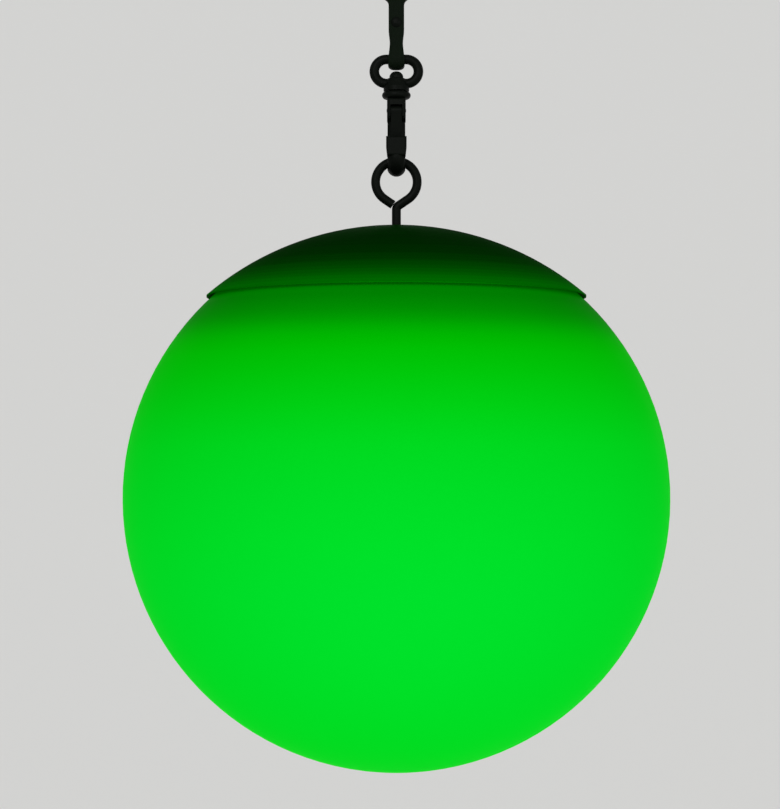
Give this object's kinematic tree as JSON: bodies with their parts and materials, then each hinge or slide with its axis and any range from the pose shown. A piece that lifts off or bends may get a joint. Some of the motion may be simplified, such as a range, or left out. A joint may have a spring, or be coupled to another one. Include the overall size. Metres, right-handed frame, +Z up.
{
  "type": "hanging globe light",
  "caption": "Garden globe light: an opal ball lit from inside under a shallow dome cap, hung by an eye bolt, a swivel snap hook and a strap.",
  "frame": {"origin": "centre of the eyelet at the top of the strap, by which the light hangs", "axes": "+Z up along the hanging line; +Y along the eyelet's hole, away from the front"},
  "size_m": [0.2999, 0.2998, 0.4439],
  "materials": {
    "dark_leather": "matt waxed",
    "black_metal": "black semi-gloss",
    "spring_steel": "drawn wire",
    "brushed_cap": "spun and brushed in circles",
    "zinc_steel": "zinc plated",
    "seal_rubber": "matt",
    "white_plastic": "fine moulded grain",
    "button_plastic": "satin",
    "led_board_white": "white solder mask",
    "led_emitter": "lit, green",
    "clear_lens": "frosted",
    "cell_jacket": "shrink wrap",
    "contact_metal": "nickel plated",
    "circuit_board": "solder mask",
    "chip_black": "matt",
    "lead_red": "insulated",
    "lead_white": "insulated",
    "opal_globe": "opal, lit green from inside"
  },
  "bodies": {
    "hanger": {"hanging_strap": "dark_leather", "strap_eyelet": "black_metal", "eyelet_washer": "black_metal", "strap_rivet": "black_metal", "strap_rivet_cap": "black_metal"},
    "eye": {"swivel_eye": "black_metal"},
    "hook": {"hook_body": "black_metal", "swivel_rivet": "black_metal", "gate_pin": "black_metal"},
    "gate": {"hook_gate": "black_metal", "gate_spring": "spring_steel"},
    "lamp": {"eye_bolt": "black_metal", "dome_cap": "brushed_cap", "cap_nut": "zinc_steel", "bolt_seal": "seal_rubber", "carrier": "white_plastic", "clamp_washer": "zinc_steel", "lock_nut": "zinc_steel", "globe_gasket": "seal_rubber", "led_board": "led_board_white", "leds": "led_emitter", "led_lens": "clear_lens", "lens_screws": "zinc_steel", "battery_cells": "cell_jacket", "battery_contacts": "contact_metal", "contact_springs": "contact_metal", "battery_cover": "white_plastic", "cover_seal": "seal_rubber", "cover_screws": "zinc_steel", "control_board": "circuit_board", "board_parts": "chip_black", "board_screws": "zinc_steel", "mode_switch": "chip_black", "battery_leads": "lead_red", "led_leads": "lead_white"},
    "button": {"mode_button": "button_plastic"},
    "globe": {"globe": "opal_globe"}
  },
  "joints": [
    {"name": "eye_swing", "type": "hinge", "parent": "hanger", "child": "eye", "pos_m": [0, 0, -0.0413], "axis": [1, 0, 0], "range_deg": [-75, 75]},
    {"name": "hook_swivel", "type": "hinge", "parent": "eye", "child": "hook", "pos_m": [0, 0, -0.05925], "axis": [0, 0, 1], "continuous": true},
    {"name": "gate_pivot", "type": "hinge", "parent": "hook", "child": "gate", "pos_m": [0, -0.0038, -0.07035], "axis": [1, 0, 0], "range_deg": [0, 17.2], "stiffness_Nm_per_rad": 0.03, "springref_deg": -20.05},
    {"name": "lamp_swing", "type": "hinge", "parent": "hook", "child": "lamp", "pos_m": [0, 0, -0.1094], "axis": [0, 1, 0], "range_deg": [-60, 60]},
    {"name": "button_press", "type": "slide", "parent": "lamp", "child": "button", "axis": [0, 0, 1], "range_m": [0, 0.0008], "stiffness_N_per_m": 400, "springref_m": -0.0015},
    {"name": "globe_twist", "type": "hinge", "parent": "lamp", "child": "globe", "pos_m": [0, 0, -0.17215], "axis": [0, 0, 1], "range_deg": [0, 45]}
  ]
}
